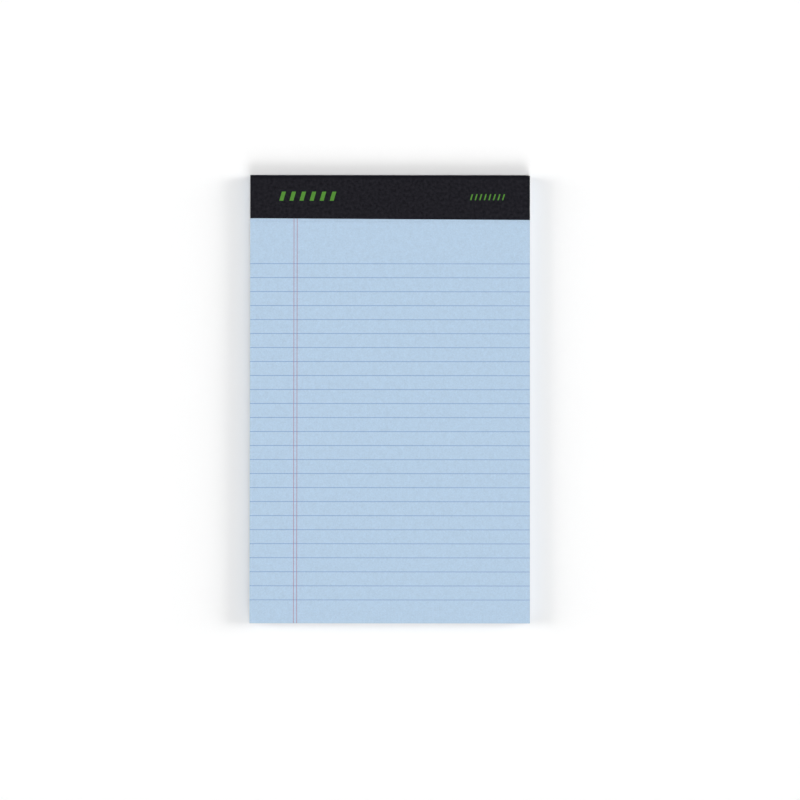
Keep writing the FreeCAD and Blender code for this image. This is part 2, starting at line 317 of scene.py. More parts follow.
def sink(points, rims, depth):
    """Pits with the given rims, a depth down: all the points, and the pits' floors and walls."""
    floors = len(points) + np.arange(rims.size).reshape(-1, 4)
    points = np.concatenate([points, points[rims.ravel()] - [0, 0, depth]])
    walls = [np.stack([rims[:, a], rims[:, b], floors[:, b], floors[:, a]], axis=-1)
             for a, b in ((0, 1), (1, 2), (2, 3), (3, 0))]
    return points, np.concatenate([floors, *walls])


def block(columns, rows, levels, shown_face, pit_cells=None, pit_depth=0):
    """A closed block over a grid of columns and rows.

    Its wall is the grid's rim repeated at each level from 0 to 1, and its upper and lower faces
    are the grid itself. Each cell marked in pit_cells is sunk by the pit's depth, as a share of
    the levels. Returns each point's column, row and level, the faces and their map places.
    """
    wide, long = len(columns), len(rows)
    rim = rim_of(long, wide)
    count = len(rim)
    loop = np.column_stack([columns[rim[:, 1]], rows[rim[:, 0]]])
    inner_x, inner_y = np.meshgrid(columns[1:-1], rows[1:-1])
    inner = np.column_stack([inner_x.ravel(), inner_y.ravel()])
    rings = [np.column_stack([loop, np.full(count, level)]) for level in levels]
    insides = [np.column_stack([inner, np.full(len(inner), level)]) for level in levels[[0, -1]]]
    points = np.concatenate([*rings, *insides])

    here = np.arange(count)
    after = (here + 1) % count
    lowest_ring = np.stack([here, after, after + count, here + count], axis=-1)
    wall = (np.arange(len(levels) - 1)[:, None, None] * count + lowest_ring).reshape(-1, 4)
    wall_kinds = np.select(
        [here < wide - 1, here < wide + long - 2, here < 2 * wide + long - 3],
        [TAIL_WALL, RIGHT_WALL, HEAD_WALL], LEFT_WALL)

    def face_cells(first_of_rim, first_inside):
        """The cells of the upper or lower face, from the numbers of its first points."""
        grid = np.empty((long, wide), dtype=int)
        grid[rim[:, 0], rim[:, 1]] = first_of_rim + here
        grid[1:-1, 1:-1] = first_inside + np.arange(len(inner)).reshape(long - 2, wide - 2)
        return cells_of(grid)

    first_inside = count * len(levels)
    low_cells = face_cells(0, first_inside)
    top_cells = face_cells(first_inside - count, first_inside + len(inner))
    sunk = np.zeros(len(top_cells), dtype=bool) if pit_cells is None else pit_cells.ravel()
    points, pits = sink(points, top_cells[sunk], pit_depth)
    level_cells = top_cells[~sunk]
    faces = np.concatenate([wall, low_cells[:, ::-1], level_cells, pits])
    kinds = np.concatenate([np.tile(wall_kinds, len(levels) - 1), np.full(len(low_cells), LOW_FACE),
                            np.full(len(level_cells), TOP_FACE), np.full(len(pits), PIT)])
    return points, faces, block_map(points, faces, kinds, shown_face)


# Materials

NOISE_REACH = (0.3, 0.7)        # the levels that most of a noise lies between
THIN_GRAIN = (0.35, 0.7)        # levels of noise between which print thins out
THIN_PATCHES = (0.4, 0.7)
SCUFFS = (0.45, 0.7)            # the same for scuffs on the tape's folds
BOARD_MOTTLE = (0.25, 0.75)
WALL_SLOPE = 0.9                # a face whose normal rises less than this is a wall
PAPER_SHINE = {"Specular IOR Level": 0.20}     # also of the board and the inks
TAPE_SHINE = {"Specular IOR Level": 0.07}


def colour(red, green, blue):
    """A colour for a socket, from linear parts."""
    return (red, green, blue, 1.0)


class Nodes:
    """The node tree of a material or a world, with short ways to add to it."""

    def __init__(self, owner):
        owner.use_nodes = True
        self.tree = owner.node_tree
        self.tree.nodes.clear()

    def add(self, kind, inputs, **settings):
        """Add a node with its settings, and wire an output or set a plain value on each input."""
        node = self.tree.nodes.new(kind)
        for name, value in settings.items():
            setattr(node, name, value)
        for name, value in inputs.items():
            if isinstance(value, bpy.types.NodeSocket):
                self.tree.links.new(value, node.inputs[name])
            else:
                node.inputs[name].default_value = value
        return node

    def calculate(self, operation, *values, clamp=False):
        """One arithmetic operation on one or two values."""
        inputs = dict(enumerate(values))
        node = self.add("ShaderNodeMath", inputs, operation=operation, use_clamp=clamp)
        return node.outputs["Value"]

    def span(self, value, reach, to_low, to_high):
        """A value moved from its reach to another range, and held inside that."""
        inputs = {"Value": value, "From Min": reach[0], "From Max": reach[1],
                  "To Min": to_low, "To Max": to_high}
        return self.add("ShaderNodeMapRange", inputs).outputs["Result"]

    def seen_directly(self, *other_rays):
        """1 for rays that show a background: the camera's, and other kinds by name."""
        path = self.add("ShaderNodeLightPath", {})
        total = path.outputs["Is Camera Ray"]
        for name in other_rays:
            total = self.calculate("MAXIMUM", total, path.outputs[name])
        return total


class Surface(Nodes):
    """The material of a piece, with patterns in the piece's own coordinates, in metres."""

    def __init__(self, name):
        self.material = bpy.data.materials.new(name)
        super().__init__(self.material)
        self.place = self.add("ShaderNodeTexCoord", {}).outputs["Object"]

    def finish(self, base, roughness, relief, constants):
        """Wire the shader to its colour, its roughness and a stack of relief layers.

        Each layer is a height pattern and its depth in metres. Constants are plain values that
        the shader's own sockets keep. Returns the material.
        """
        inputs = {"Base Color": base, "Roughness": roughness, **constants}
        for height, depth in relief:
            layer = {"Height": height, "Strength": 1.0, "Distance": depth}
            if "Normal" in inputs:
                layer["Normal"] = inputs["Normal"]
            inputs["Normal"] = self.add("ShaderNodeBump", layer).outputs["Normal"]
        shader = self.add("ShaderNodeBsdfPrincipled", inputs)
        self.add("ShaderNodeOutputMaterial", {"Surface": shader.outputs["BSDF"]})
        return self.material

    def curled(self, reach, size):
        """Coordinates pushed about by smooth noise, up to a reach, so that straight marks curl."""
        inputs = {"Vector": self.place, "Scale": 1 / size, "Detail": 0.0}
        push = self.add("ShaderNodeTexNoise", inputs).outputs["Color"]
        inputs = {0: push, 1: (reach, reach, reach), 2: self.place}
        return self.add("ShaderNodeVectorMath", inputs, operation="MULTIPLY_ADD").outputs["Vector"]

    def stretched(self, sizes, turn=0.0, vector=None):
        """Coordinates in units of a pattern's own sizes, along axes turned about the vertical."""
        rotation = (0, 0, math.radians(turn))
        inputs = {"Vector": vector or self.place, "Rotation": rotation, "Scale": sizes}
        return self.add("ShaderNodeMapping", inputs, vector_type="TEXTURE").outputs["Vector"]

    def noise(self, size, detail=2.0, roughness=0.5, vector=None):
        """Cloudy noise from 0 to 1 with features of one size, in metres."""
        inputs = {"Scale": 1 / size, "Detail": detail, "Roughness": roughness}
        inputs["Vector"] = vector or self.place
        return self.add("ShaderNodeTexNoise", inputs).outputs["Fac"]

    def layered(self, length, thickness, detail):
        """Noise in flat layers, as long as one size and as thick as another."""
        return self.noise(1.0, detail, vector=self.stretched((length, length, thickness)))

    def spread(self, noise, to_low, to_high):
        """The usual reach of noise, spread over a range."""
        return self.span(noise, NOISE_REACH, to_low, to_high)

    def mix(self, share, first, second, blend="MIX"):
        """Two colours mixed by a share."""
        inputs = {"Factor": share, "A": first, "B": second}
        return self.add("ShaderNodeMix", inputs, data_type="RGBA", blend_type=blend).outputs["Result"]

    def shaded(self, base, *layers, middle=1.0):
        """A colour times a tone, which each noise lifts and lowers about its middle by a swing."""
        tone = middle
        for noise, swing in layers:
            tone = self.calculate("ADD", tone, self.spread(noise, -swing, swing))
        grey = self.add("ShaderNodeCombineColor", {"Red": tone, "Green": tone, "Blue": tone})
        return self.mix(1.0, base, grey.outputs["Color"], "MULTIPLY")

    def laid_over(self, base, pattern, strength, shade):
        """A colour with another laid over it where a pattern shows, at part strength."""
        return self.mix(self.calculate("MULTIPLY", pattern, strength), base, shade)

    def fibres(self, length, width, turn, amount, vector=None):
        """Short fibres lying one way: the crests of noise stretched along them."""
        lying = self.stretched((length, width, width), turn, vector)
        crest = self.noise(1.0, detail=0.0, vector=lying)
        return self.span(crest, (1 - amount, 1 - amount / 2), 0.0, 1.0)

    def with_fibres(self, base, kinds, width, amount, strength, vector):
        """A colour with fibres over it: kinds give their direction, length and shade."""
        for turn, length, shade in kinds:
            fibre = self.fibres(length * MM, width, turn, amount, vector)
            base = self.laid_over(base, fibre, strength, shade)
        return base

    def with_specks(self, base, kinds, strength):
        """A colour with round specks over it: kinds give spacing, radius, share and shade.

        Points are strewn one spacing apart, and a share of them are specks of that radius.
        """
        for spacing, radius, share, shade in kinds:
            inputs = {"Vector": self.place, "Scale": 1 / (spacing * MM)}
            cells = self.add("ShaderNodeTexVoronoi", inputs)
            inside = self.calculate("LESS_THAN", cells.outputs["Distance"], radius / spacing)
            drawn = self.add("ShaderNodeSeparateColor", {"Color": cells.outputs["Color"]})
            chosen = self.calculate("LESS_THAN", drawn.outputs["Red"], share)
            base = self.laid_over(base, self.calculate("MULTIPLY", inside, chosen), strength, shade)
        return base

    def attribute(self, name):
        """A value stored on the piece's own faces or points."""
        return self.add("ShaderNodeAttribute", {}, attribute_name=name).outputs["Fac"]

    def upright(self):
        """1 on walls and 0 on level faces, from the slope of the surface."""
        geometry = self.add("ShaderNodeNewGeometry", {})
        parts = self.add("ShaderNodeSeparateXYZ", {"Vector": geometry.outputs["True Normal"]})
        return self.calculate("LESS_THAN", self.calculate("ABSOLUTE", parts.outputs["Z"]), WALL_SLOPE)


PAPER_BLUE = colour(0.464, 0.612, 0.774)
PAPER_PALE = colour(0.57, 0.69, 0.82)
PAPER_DARK = colour(0.36, 0.49, 0.65)
PAPER_SPECK = colour(0.16, 0.19, 0.24)
# Cut edges: their own streaky colours, set darker than the face partly as painted shade of the
# grooves between the sheets
EDGE_DARK = colour(0.30, 0.42, 0.56)
EDGE_PALE = colour(0.50, 0.63, 0.77)
PAPER_FIBRES = (                # direction in degrees, length in millimetres, shade
    (25, 1.5, PAPER_PALE), (70, 1.2, PAPER_DARK), (115, 1.6, PAPER_PALE), (160, 1.3, PAPER_DARK),
)
PAPER_SPECKS = (                # spacing and radius in millimetres, share of places, shade
    (2.0, 0.10, 0.30, PAPER_SPECK), (1.3, 0.06, 0.25, PAPER_SPECK),
)

RULING_BLUE = colour(0.185, 0.315, 0.580)
MARGIN_RED = colour(0.415, 0.180, 0.290)
HEADER_GREEN = colour(0.088, 0.270, 0.034)

TAPE_BLACK = colour(0.0037, 0.0034, 0.0058)
TAPE_SOFT = colour(0.0168, 0.0164, 0.0213)
TAPE_FIBRE = colour(0.020, 0.019, 0.024)
TAPE_RUBBED = colour(0.075, 0.073, 0.078)
TAPE_CORE = colour(0.040, 0.039, 0.042)

BOARD_DARK = colour(0.255, 0.212, 0.158)
BOARD_PALE = colour(0.335, 0.285, 0.216)
BOARD_EDGE = colour(0.400, 0.350, 0.275)
BOARD_FIBRE_PALE = colour(0.440, 0.390, 0.310)
BOARD_FIBRE_DARK = colour(0.160, 0.130, 0.097)
BOARD_FIBRES = (                # direction in degrees, length in millimetres, shade
    (8, 3.2, BOARD_FIBRE_PALE), (52, 2.4, BOARD_FIBRE_DARK), (98, 2.8, BOARD_FIBRE_PALE),
    (144, 2.2, BOARD_FIBRE_DARK),
)
BOARD_FLECKS = (                # spacing and radius in millimetres, share of places, shade
    (1.7, 0.15, 0.35, colour(0.060, 0.052, 0.045)), (2.9, 0.20, 0.40, colour(0.58, 0.56, 0.50)),
    (4.9, 0.24, 0.35, colour(0.045, 0.042, 0.040)), (7.1, 0.22, 0.35, colour(0.11, 0.17, 0.30)),
    (8.3, 0.22, 0.35, colour(0.31, 0.11, 0.08)),
)

ZINC_DARK = colour(0.48, 0.49, 0.51)
ZINC_PALE = colour(0.62, 0.63, 0.65)


def tinted_paper():
    """Pale blue recycled paper: cloudy formation, fine grain, loose fibres and a few specks.

    The cut edges are streaked along the sheets, with nicks from the knife, and set darker than the
    face, partly as painted shade.
    """
    paper = Surface("tinted paper")
    clouds = paper.noise(2.6 * MM, detail=4, roughness=0.65)
    grain = paper.noise(0.8 * MM, detail=3)
    tooth = paper.noise(0.22 * MM)
    face = paper.shaded(PAPER_BLUE, (clouds, 0.035), (grain, 0.050), (tooth, 0.035))
    curl = paper.curled(reach=0.9 * MM, size=1.3 * MM)
    face = paper.with_fibres(face, PAPER_FIBRES, width=0.10 * MM, amount=0.36, strength=0.5,
                             vector=curl)
    face = paper.with_specks(face, PAPER_SPECKS, strength=0.5)
    streaks = paper.layered(length=7 * MM, thickness=0.11 * MM, detail=2)
    nicks = paper.layered(length=1.1 * MM, thickness=0.5 * MM, detail=3)
    edge = paper.mix(paper.spread(streaks, 0, 1), EDGE_DARK, EDGE_PALE)
    edge = paper.shaded(edge, (nicks, 0.09), middle=0.99)
    base = paper.mix(paper.upright(), face, edge)
    roughness = paper.spread(grain, 0.80, 0.92)
    return paper.finish(base, roughness, [(tooth, 0.008 * MM), (clouds, 0.010 * MM)], PAPER_SHINE)


def ink(name, ink_colour, under, coverage):
    """Printed ink: its own colour, with the surface under it showing where the print is thin."""
    film = Surface(name)
    grain = film.noise(0.16 * MM)
    patches = film.noise(3 * MM)
    thin = film.calculate("ADD", film.span(grain, THIN_GRAIN, 0.0, 1 - coverage),
                          film.span(patches, THIN_PATCHES, 0.0, (1 - coverage) / 2))
    base = film.mix(thin, ink_colour, under)
    roughness = film.spread(grain, 0.65, 0.85)
    return film.finish(base, roughness, [(grain, 0.004 * MM)], PAPER_SHINE)


def binding_paper():
    """Matte black binding paper: faint mottle, a little rubbed at its folds, and plain and darker
    beside the front fold as painted shade.

    The paper is grey where it is cut.
    """
    tape = Surface("binding paper")
    mottle = tape.noise(1.4 * MM, detail=4, roughness=0.65)
    grain = tape.noise(0.3 * MM, detail=3)
    # Painted shade: beside the front fold the lighter mottle is left out, so the tape is darker there
    unshaded_face = tape.calculate("SUBTRACT", 1.0, tape.attribute("fold"))
    soft = tape.calculate("MULTIPLY", tape.spread(mottle, 0, 1), unshaded_face)
    black = tape.mix(soft, TAPE_BLACK, TAPE_SOFT)
    long_fibres = tape.fibres(1.2 * MM, width=0.09 * MM, turn=20, amount=0.30)
    short_fibres = tape.fibres(1.0 * MM, width=0.09 * MM, turn=100, amount=0.30)
    fibre = tape.calculate("MAXIMUM", long_fibres, short_fibres)
    black = tape.laid_over(black, fibre, strength=0.3, shade=TAPE_FIBRE)
    scuffs = tape.span(tape.noise(0.5 * MM, detail=4, roughness=0.7), SCUFFS, 0, 1)
    black = tape.mix(tape.calculate("MULTIPLY", tape.attribute("wear"), scuffs), black, TAPE_RUBBED)
    base = tape.mix(tape.attribute("cut"), black, TAPE_CORE)
    roughness = tape.spread(grain, 0.76, 0.90)
    relief = [(grain, 0.008 * MM), (mottle, 0.012 * MM), (fibre, 0.003 * MM)]
    return tape.finish(base, roughness, relief, TAPE_SHINE)


def pulp_board():
    """Grey-brown board of pulped waste paper: mottle, long fibres and flecks of old print."""
    board = Surface("pulp board")
    mottle = board.noise(3 * MM, detail=4, roughness=0.7)
    grain = board.noise(0.5 * MM, detail=3, roughness=0.7)
    plies = board.layered(length=1.4 * MM, thickness=0.20 * MM, detail=3)
    face = board.mix(board.span(mottle, BOARD_MOTTLE, 0, 1), BOARD_DARK, BOARD_PALE)
    edge = board.mix(board.spread(plies, 0, 1), BOARD_DARK, BOARD_EDGE)
    base = board.shaded(board.mix(board.upright(), face, edge), (grain, 0.14))
    curl = board.curled(reach=1.6 * MM, size=2.4 * MM)
    base = board.with_fibres(base, BOARD_FIBRES, width=0.20 * MM, amount=0.42, strength=0.7,
                             vector=curl)
    base = board.with_specks(base, BOARD_FLECKS, strength=0.8)
    roughness = board.spread(grain, 0.82, 0.95)
    return board.finish(base, roughness, [(grain, 0.02 * MM), (mottle, 0.03 * MM)], PAPER_SHINE)


def staple_steel():
    """Galvanised wire, drawn along its length."""
    wire = Surface("staple steel")
    drawn = wire.noise(1.0, detail=3, vector=wire.stretched((2.5 * MM, 0.1 * MM, 0.1 * MM)))
    spangle = wire.noise(0.8 * MM)
    base = wire.mix(wire.spread(spangle, 0, 1), ZINC_DARK, ZINC_PALE)
    roughness = wire.spread(drawn, 0.28, 0.45)
    return wire.finish(base, roughness, [(drawn, 0.004 * MM)], {"Metallic": 1.0})


sheet_paper = tinted_paper()
black_paper = binding_paper()
grey_board = pulp_board()
ruling_ink = ink("ruling ink", RULING_BLUE, PAPER_BLUE, coverage=0.90)
margin_ink = ink("margin ink", MARGIN_RED, PAPER_BLUE, coverage=0.90)
header_ink = ink("header ink", HEADER_GREEN, TAPE_BLACK, coverage=0.85)
steel = staple_steel()


# Sheets

GROOVE = 0.020 * MM             # between the edges of two sheets
SHEET_DRIFT = 0.050 * MM        # slow shift of the sheets up the block
DRIFT_WAVES = ((1.3, 0.4), (0.8, 2.0))  # across and along: turns up the block, and phase
SHEET_JITTER = 0.014 * MM
PIT_SHEETS = 3                  # depth of the modelled perforation, in sheets
BOUND_ROWS = 8                  # of the grid, between the perforation and the nip
NIP_ROWS = 6
LAST_ROW_GAP = 1.4 * FOLD       # from the head to the row before it
RULED_ROWS = np.linspace(TAIL, SLIT_LOW - BURR_REACH, 28)   # the margin lines follow them too


def make_sheets():
    """The block of sheets: one closed surface with a fine groove between each two sheets.

    Levels come in turn at the groove under a sheet and at its middle. Each sheet is shifted
    from the top one by a slow drift and a little jitter, which fade towards the bound head.
    """
    rows = np.concatenate([
        RULED_ROWS, [SLIT_LOW, SLIT_HIGH],
        np.linspace(SLIT_HIGH + BURR_REACH, HEAD - NIP_REACH, BOUND_ROWS),
        np.linspace(HEAD - NIP_REACH, HEAD - LAST_ROW_GAP, NIP_ROWS)[1:], [HEAD],
    ])
    columns = np.concatenate([[LEFT], SLIT_ENDS, [RIGHT]])
    levels = np.linspace(0, 1, 2 * SHEET_COUNT + 1)
    pit_cells = np.zeros((len(rows) - 1, len(columns) - 1), dtype=bool)
    pit_cells[len(RULED_ROWS), 1::2] = True
    nominal, faces, map_places = block(
        columns, rows, levels, TOP_FACE, pit_cells, PIT_SHEETS / SHEET_COUNT)

    x, y, level = nominal.T
    z = SHEETS_LOW + level * (SHEETS_TOP - SHEETS_LOW)
    sheet = np.clip((level * SHEET_COUNT).astype(int), 0, SHEET_COUNT - 1)
    turn = 2 * math.pi * np.arange(SHEET_COUNT) / SHEET_COUNT
    drift = np.column_stack([np.sin(turns * turn + phase) for turns, phase in DRIFT_WAVES])
    shift = SHEET_DRIFT * drift + random.normal(0, SHEET_JITTER, (SHEET_COUNT, 2))
    shift = shift - shift[-1]
    free = ramp(y, HEAD, TAIL)
    in_groove = at(np.round(level * SHEET_COUNT), level * SHEET_COUNT) & (level > 0) & (level < 1)
    inset = GROOVE * in_groove
    x_new = x + free * shift[sheet, 0] - inset * outwards(x)
    y_new = y + free * shift[sheet, 1] + inset * at(y, TAIL)
    y_new = rounded_head(y_new, SHEETS_TOP - z) - knocked_in(x, y, z)
    z_new = z + sheet_rise(x, y, level) + burr(y) * at(level, 1) - nipped(y, z)
    points = np.column_stack([x_new, y_new, z_new])
    add_piece("sheets", points, faces, map_places, sheet_paper, ["page_block"])


# Backboard

BOARD_ROWS = 90
BOARD_COLUMNS = 56
BOARD_LEVELS = 9
BOARD_FUZZ = 0.018 * MM         # roughness of the cut edge
BOARD_BURR = 0.03 * MM          # the knife draws the edge in towards the board's two faces


def make_backboard():
    """The chipboard back: a block whose cut edge is drawn in at both faces and slightly rough."""
    rows = np.linspace(TAIL, HEAD, BOARD_ROWS)
    columns = np.linspace(LEFT, RIGHT, BOARD_COLUMNS)
    levels = np.linspace(0, 1, BOARD_LEVELS)
    nominal, faces, map_places = block(columns, rows, levels, LOW_FACE)
    x, y, level = nominal.T
    z = BOARD_LOW + level * (BOARD_TOP - BOARD_LOW)
    inset = BOARD_BURR * (2 * level - 1) ** 4 + np.abs(random.normal(0, BOARD_FUZZ, len(x)))
    x_new = x - inset * outwards(x)
    y_new = rounded_head(y + inset * at(y, TAIL), z - BOARD_LOW) - knocked_in(x, y, z)
    points = np.column_stack([x_new, y_new, z])
    add_piece("chipboard_back", points, faces, map_places, grey_board, ["backboard"])


# Binding tape

FLAP_ROWS = 50
FOLD_ROWS = 9
SPINE_ROWS = 12
PLAIN_COLUMNS = 150
CORNER_COLUMNS = 16             # over the knocked corner
OUTSIDE_SHARE = 3 / 4           # of the flat map's height

FOLD_WEAR = 0.12
CORNER_WEAR = 0.7
WEAR_REACH = 0.9 * MM
CORNER_WEAR_REACH = 2.5 * MM
FOLD_SHADE_REACH = 2.0 * MM          # beside the front fold, where the tape is tight and its colour is darkened as painted shade


def tape_path(x, outside):
    """The tape's way from the end of its front flap round the head to the end of its back flap.

    Straight along the top sheet, a quarter circle, straight down the spine, a quarter circle,
    and straight back under the board. Rows are steps along the way, and columns are places
    across the pad. The outside lies one thickness of tape further out, and carries the relief.
    The back flap is pressed thinner everywhere but over the clinched ends.
    """
    gap = TAPE_THICKNESS if outside else 0.0
    radius = FOLD + gap
    share = np.linspace(0, 1, FLAP_ROWS)[:, None]
    front_end = np.interp(x, (LEFT, RIGHT), FRONT_ENDS)
    back_end = np.interp(x, (LEFT, RIGHT), BACK_ENDS)
    front_y = front_end + share * (FOLD_START - front_end)
    back_y = FOLD_START + share * (back_end - FOLD_START)
    quarter = np.linspace(0, math.pi / 2, FOLD_ROWS)[1:-1, None] + 0 * x
    spine_z = np.linspace(SHEETS_TOP - FOLD, BOARD_LOW + FOLD, SPINE_ROWS)[:, None] + 0 * x
    front_z = SHEETS_TOP + gap + 0 * front_y
    back_z = BOARD_LOW - gap + 0 * back_y
    if outside:
        front_z = front_flap(x, front_y)
        flattened = ramp(back_y, FOLD_START, FOLD_START - WEAR_REACH)
        back_z = back_z + CLINCH_RIDGE * flattened * (1 - over_wire(x, back_y, back=True))
    y = np.concatenate([front_y, FOLD_START + radius * np.sin(quarter), HEAD + gap + 0 * spine_z,
                        FOLD_START + radius * np.cos(quarter), back_y])
    z = np.concatenate([front_z, SHEETS_TOP - FOLD + radius * np.cos(quarter), spine_z,
                        BOARD_LOW + FOLD - radius * np.sin(quarter), back_z])
    return np.stack([x + 0 * y, y, z], axis=-1)


def tape_map(faces, rows, columns):
    """Places on the flat map: the outside unrolled over its lower part, the inside over a strip.

    A cut end is the sliver between the outside's edge and the inside's.
    """
    row, column = np.divmod(faces, columns)
    is_inside = row >= rows
    along = np.where(is_inside, 2 * rows - 1 - row, row) / (rows - 1)
    across = MAP_EDGE + (1 - 2 * MAP_EDGE) * column / (columns - 1)
    up_inside = OUTSIDE_SHARE + along * (1 - OUTSIDE_SHARE - MAP_EDGE)
    up_outside = MAP_EDGE + along * (OUTSIDE_SHARE - 4 * MAP_EDGE)
    return np.stack([across, np.where(is_inside, up_inside, up_outside)], axis=-1)


def mark_wear_and_fold_shade(piece, points):
    """Store how rubbed each point is, most at the ends of the folds, and how near the front fold it
    is, for the painted shade there.
    """
    x, y, z = points.T
    near_head = ramp(y, HEAD - WEAR_REACH, HEAD)
    near_face = np.maximum(ramp(z, SHEETS_TOP - WEAR_REACH, SHEETS_TOP),
                           ramp(z, BOARD_LOW + WEAR_REACH, BOARD_LOW))
    near_end = ramp(np.abs(x), RIGHT - CORNER_WEAR_REACH, RIGHT)
    wear = near_head * near_face * (FOLD_WEAR + (CORNER_WEAR - FOLD_WEAR) * near_end)
    # Painted shade: a band beside the front fold, where the tape's colour is darkened
    fold = ramp(y, HEAD - FOLD_SHADE_REACH, FOLD_START) * ramp(z, SHEETS_TOP - FOLD_SHADE_REACH, SHEETS_TOP)
    store(piece, "wear", "POINT", wear)
    store(piece, "fold", "POINT", fold)


def make_tape():
    """The folded tape: a closed ring of outside and inside rows, drawn across the pad."""
    x = np.concatenate([np.linspace(LEFT, RIGHT - CORNER_REACH, PLAIN_COLUMNS)[:-1],
                        np.linspace(RIGHT - CORNER_REACH, RIGHT, CORNER_COLUMNS)])
    outside, inside = tape_path(x, True), tape_path(x, False)
    rows, columns = outside.shape[:2]
    ring = np.concatenate([outside, inside[::-1]])
    count = len(ring)
    numbers = np.arange(count * columns).reshape(count, columns)
    skin = cells_of(np.concatenate([numbers, numbers[:1]]))
    outer, inner = numbers[:rows], numbers[rows:][::-1]
    left_cut = np.stack([outer[:-1, 0], outer[1:, 0], inner[1:, 0], inner[:-1, 0]], axis=-1)
    right_cut = np.stack([outer[1:, -1], outer[:-1, -1], inner[:-1, -1], inner[1:, -1]], axis=-1)
    faces = np.concatenate([skin, left_cut, right_cut])

    flat = ring.reshape(-1, 3)
    pushed, lowered = knocked_in(*flat.T), nipped(flat[:, 1], flat[:, 2])
    points = flat - np.column_stack([0 * pushed, pushed, lowered])
    piece = add_piece("tape", points, faces, tape_map(faces, rows, columns), black_paper,
                      ["binding_tape"], smooth=True)
    mark_wear_and_fold_shade(piece, flat)
    ring_row = np.arange(count).repeat(columns - 1)
    end_row = np.isin(ring_row, (rows - 1, count - 1))
    store(piece, "cut", "FACE", np.concatenate([end_row, np.ones(len(left_cut) + len(right_cut))]))


# Print

INK_RELIEF = 0.012 * MM
INK_SINK = 0.010 * MM
ENDS = np.array([0.0, 1.0])     # shares for a patch with no points between its ends
RULE_STEPS = 9                  # points along each segment of a rule
BARS = (                        # name, node, points across and along each bar
    ("mark_print", "header_mark", 13),
    ("dash_print", "header_dashes", 9),
)
UPPER_BAND = (0.3, 0.6)         # start and width of a patch's upper face in its band of the map
LOWER_BAND = (0.1, 0.1)         # the same for its lower face


def print_map(faces, patches, share_x, share_y, layer):
    """Places on the flat map: each patch fills a band of it from side to side.

    Its upper face fills most of the band, and its lower face a thin strip under that.
    """
    patch, inside = np.divmod(faces, 2 * layer)
    is_upper, number = np.divmod(inside, layer)
    along, across = share_y.ravel()[number], share_x.ravel()[number]
    lies_along = len(share_y) > share_y.shape[1]
    long_share, short_share = (along, across) if lies_along else (across, along)
    within = np.where(is_upper == 1, UPPER_BAND[0] + UPPER_BAND[1] * short_share,
                      LOWER_BAND[0] + LOWER_BAND[1] * short_share)
    return np.stack([MAP_EDGE + (1 - 2 * MAP_EDGE) * long_share, (patch + within) / patches], axis=-1)


def make_print(name, corners, across, along, surface, material, node):
    """Flat patches of ink on a surface, as one piece of closed slips.

    Each patch is spread evenly between its four corners, by shares across and along it. Its
    upper face lies one relief over the surface, and its lower face one sink under it.
    """
    share_x, share_y = np.meshgrid(across, along)
    weights = np.stack([(1 - share_x) * (1 - share_y), share_x * (1 - share_y),
                        share_x * share_y, (1 - share_x) * share_y], axis=-1)
    flat = np.einsum("jik,pkc->pjic", weights, corners)
    height = surface(flat[..., 0], flat[..., 1])
    upper = np.concatenate([flat, (height + INK_RELIEF)[..., None]], axis=-1)
    lower = np.concatenate([flat, (height - INK_SINK)[..., None]], axis=-1)
    patches, long, wide = flat.shape[:3]
    points = np.stack([lower, upper], axis=1).reshape(-1, 3)

    grid = np.arange(long * wide).reshape(long, wide)
    rim = np.concatenate([grid[0, :-1], grid[:-1, -1], grid[-1, :0:-1], grid[:0:-1, 0]])
    after = np.roll(rim, -1)
    layer = long * wide
    slip = np.concatenate([cells_of(grid)[:, ::-1], cells_of(grid) + layer,
                           np.stack([rim, after, after + layer, rim + layer], axis=-1)])
    starts = np.arange(patches) * 2 * layer
    faces = (starts[:, None, None] + slip).reshape(-1, 4)
    add_piece(name, points, faces, print_map(faces, patches, share_x, share_y, layer),
              material, [node])


def box_corners(x_pairs, y_pairs):
    """The corners of every upright rectangle between pairs of places across and along the pad."""
    corners = [[(x0, y0), (x1, y0), (x1, y1), (x0, y1)] for y0, y1 in y_pairs for x0, x1 in x_pairs]
    return np.array(corners)


def make_prints():
    """All the ink: ruling and margin on the top sheet, and two rows of bars on the tape."""
    lines = points_of("ruling_lines")
    ruling = box_corners(places(lines[:, 0]).reshape(-1, 2), places(lines[:, 1]).reshape(-1, 2))
    make_print("ruling_print", ruling, np.linspace(0, 1, RULE_STEPS), ENDS, top_sheet, ruling_ink,
               "ruling_lines")

    margin = points_of("margin_lines")
    top = margin[:, 1].max()
    stops = np.concatenate([RULED_ROWS, [SLIT_LOW, SLIT_HIGH, SLIT_HIGH + BURR_REACH, top]])
    sides = box_corners(places(margin[:, 0]).reshape(-1, 2), [(TAIL, top)])
    make_print("margin_print", sides, ENDS, (stops - TAIL) / (top - TAIL), top_sheet, margin_ink,
               "margin_lines")

    for name, node, steps in BARS:
        shares = np.linspace(0, 1, steps)
        make_print(name, bar_corners(node), shares, shares, front_flap, header_ink,
                   node)


# The pad

make_sheets()
make_backboard()
make_tape()
make_prints()
for node in ("staple_left", "staple_right"):
    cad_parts[node].data.materials.clear()
    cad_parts[node].data.materials.append(steel)


# Table, light and camera

